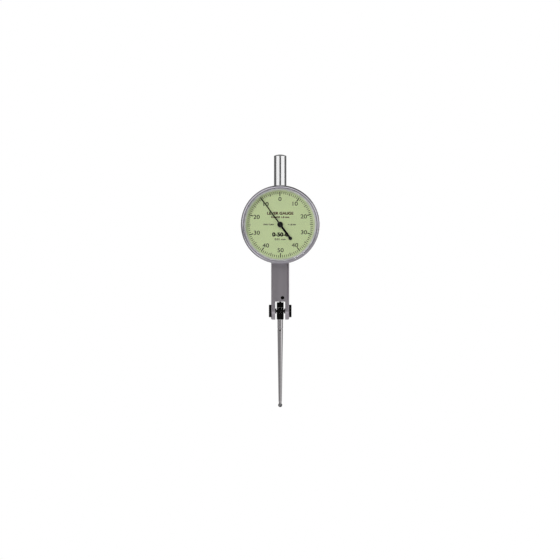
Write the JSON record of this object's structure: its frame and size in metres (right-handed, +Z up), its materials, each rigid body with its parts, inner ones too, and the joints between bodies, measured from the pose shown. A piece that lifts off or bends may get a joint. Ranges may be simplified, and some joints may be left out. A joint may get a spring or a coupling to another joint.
{
  "type": "dial test indicator",
  "caption": "Lever-type dial test indicator: round dial in a turning bezel, clamp stem, square body with a forked end, and a long ball-tipped stylus that drives the needle by gears.",
  "frame": {"origin": "on the stem axis, where the stem leaves the top of the body bar", "axes": "+Z up the stem, +X to the right of the dial as it is read, -Y the way the dial faces"},
  "size_m": [0.0382, 0.0161, 0.1227],
  "materials": {
    "satin_chrome": "satin plated",
    "ground_steel": "ground and polished",
    "black_oxide": "black oxide steel, slightly oiled",
    "black_paint": "satin black",
    "screw_steel": "plain steel",
    "dial_green": "matt pale green with black print",
    "spacer_silver": "satin",
    "clear_crystal": "clear moulded",
    "movement_brass": "turned",
    "spring_steel": "blued spring",
    "ball_carbide": "lapped carbide"
  },
  "bodies": {
    "body": {"body_frame": "satin_chrome", "side_cover": "satin_chrome", "side_cover_screws": "screw_steel", "dial_case": "satin_chrome", "case_screws": "screw_steel", "stem": "ground_steel", "pivot_screw_left": "black_oxide", "pivot_screw_right": "black_oxide", "stop_screw": "black_oxide", "sector_pin": "ground_steel", "crown_bushes": "movement_brass", "center_bush": "movement_brass", "center_bridge": "movement_brass", "bridge_screws": "screw_steel", "hairspring": "spring_steel", "hairspring_stud": "movement_brass"},
    "lever": {"measuring_lever": "black_oxide", "pivot_arbor": "ground_steel", "drive_pins": "ground_steel", "clutch_washers": "black_oxide"},
    "stylus": {"stylus_hub": "black_oxide", "stylus_holder": "ground_steel", "stylus": "ground_steel", "contact_ball": "ball_carbide"},
    "sector": {"sector_lever": "movement_brass", "sector_bush": "movement_brass"},
    "crown": {"crown_arbor": "ground_steel", "crown_pinion": "movement_brass", "crown_wheel": "movement_brass"},
    "needle": {"center_arbor": "ground_steel", "center_pinion": "movement_brass", "hairspring_collet": "movement_brass", "needle": "black_paint", "needle_boss": "black_paint"},
    "bezel": {"bezel": "satin_chrome", "bezel_wire": "screw_steel", "dial_retainer": "screw_steel", "dial_plate": "dial_green", "dial_spacer": "spacer_silver", "crystal": "clear_crystal"}
  },
  "joints": [
    {"name": "needle_turn", "type": "hinge", "parent": "body", "child": "needle", "pos_m": [0, 0, -0.018], "axis": [0, 1, 0], "range_deg": [0, 360], "stiffness_Nm_per_rad": 0.000003, "springref_deg": -687.55, "deforming": ["hairspring"]},
    {"name": "crown_turn", "type": "hinge", "parent": "body", "child": "crown", "pos_m": [0, 0, -0.018], "axis": [1, 0, 0], "range_deg": [-120.5, 0.5]},
    {"name": "sector_swing", "type": "hinge", "parent": "body", "child": "sector", "pos_m": [0, 0, -0.0479], "axis": [1, 0, 0], "range_deg": [-0.05, 3.7]},
    {"name": "lever_swing", "type": "hinge", "parent": "body", "child": "lever", "pos_m": [0, 0, -0.0599], "axis": [1, 0, 0], "range_deg": [-0.02, 1.27]},
    {"name": "stylus_set", "type": "hinge", "parent": "lever", "child": "stylus", "pos_m": [0, 0, -0.0599], "axis": [1, 0, 0], "range_deg": [-100, 100]},
    {"name": "bezel_turn", "type": "hinge", "parent": "body", "child": "bezel", "pos_m": [0, 0, -0.018], "axis": [0, 1, 0], "continuous": true}
  ],
  "couplings": [
    {"joint": "crown_turn", "follows": "needle_turn", "ratio": -0.33333},
    {"joint": "sector_swing", "follows": "needle_turn", "ratio": 0.010147},
    {"joint": "lever_swing", "follows": "needle_turn", "ratio": 0.0034826}
  ]
}
